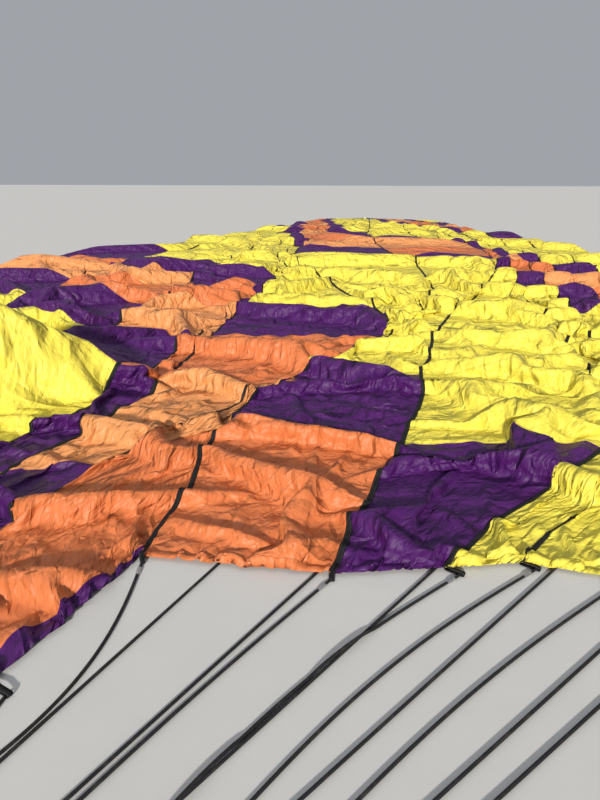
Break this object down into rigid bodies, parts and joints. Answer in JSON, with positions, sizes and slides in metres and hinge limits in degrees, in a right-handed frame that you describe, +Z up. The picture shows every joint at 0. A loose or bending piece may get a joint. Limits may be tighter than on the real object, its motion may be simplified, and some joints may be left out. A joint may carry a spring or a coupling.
{
  "type": "hot air balloon laid out for inflation",
  "caption": "Hot air balloon laid out flat for inflation: cloth envelope, suspension wires, gimballed twin burner in its load frame, and a wicker basket on its side.",
  "frame": {"origin": "on the ground under the middle of the whole laid-out balloon", "axes": "+Y from the basket to the crown of the envelope, +Z up, +X to the right seen from the basket"},
  "size_m": [10.8409, 27.6123, 1.088],
  "materials": {
    "yellow": "coated ripstop nylon, slight sheen",
    "purple": "coated ripstop nylon, slight sheen",
    "orange": "coated ripstop nylon, slight sheen",
    "cord": "black sheathed cord",
    "steel": "brushed stainless",
    "aluminium": "satin",
    "burner_paint": "black satin",
    "pole_cover": "black padded sleeve",
    "wicker": "woven cane",
    "hide": "brown hide",
    "plywood": "varnished plywood"
  },
  "bodies": {
    "balloon": {"top_gore_01": "yellow", "top_gore_02": "yellow", "top_gore_03": "yellow", "top_gore_04": "yellow", "top_gore_05": "purple", "top_gore_06": "orange", "top_gore_07": "orange", "top_gore_08": "purple", "top_gore_09": "yellow", "top_gore_10": "yellow", "top_gore_11": "yellow", "top_gore_12": "yellow", "bottom_gore_01": "yellow", "bottom_gore_02": "purple", "bottom_gore_03": "orange", "bottom_gore_04": "orange", "bottom_gore_05": "purple", "bottom_gore_06": "yellow", "bottom_gore_07": "yellow", "bottom_gore_08": "yellow", "bottom_gore_09": "yellow", "bottom_gore_10": "yellow", "bottom_gore_11": "purple", "bottom_gore_12": "orange", "crown_ring": "aluminium", "basket_floor": "plywood", "basket_wall_right": "wicker", "basket_wall_lower": "wicker", "basket_wall_left": "wicker", "basket_wall_upper": "wicker", "basket_rim": "hide", "basket_base_band": "hide", "basket_skid_left": "plywood", "basket_skid_middle": "plywood", "basket_skid_right": "plywood", "fuel_cylinder_lower_left": "aluminium", "fuel_cylinder_lower_right": "aluminium", "fuel_cylinder_upper_left": "aluminium", "fuel_cylinder_upper_right": "aluminium", "load_frame": "steel", "upright_upper_right": "pole_cover", "upright_upper_left": "pole_cover", "upright_lower_left": "pole_cover", "upright_lower_right": "pole_cover", "karabiner_upper_right": "steel", "karabiner_upper_left": "steel", "karabiner_lower_left": "steel", "karabiner_lower_right": "steel", "wires_upper_right": "cord", "wires_upper_left": "cord", "wires_lower_left": "cord", "wires_lower_right": "cord"},
    "gimbal": {"gimbal_ring": "steel"},
    "burner": {"burner_block": "burner_paint", "burner_can_left": "steel", "burner_can_right": "steel", "burner_coil_left": "steel", "burner_coil_right": "steel"}
  },
  "joints": [
    {"name": "gimbal_tilt", "type": "hinge", "parent": "balloon", "child": "gimbal", "pos_m": [-0.574, -11.816, 0.544], "axis": [1, 0, 0], "range_deg": [-25, 25]},
    {"name": "burner_tilt", "type": "hinge", "parent": "gimbal", "child": "burner", "pos_m": [-0.574, -11.816, 0.544], "axis": [0, 0, 1], "range_deg": [-25, 25]}
  ]
}
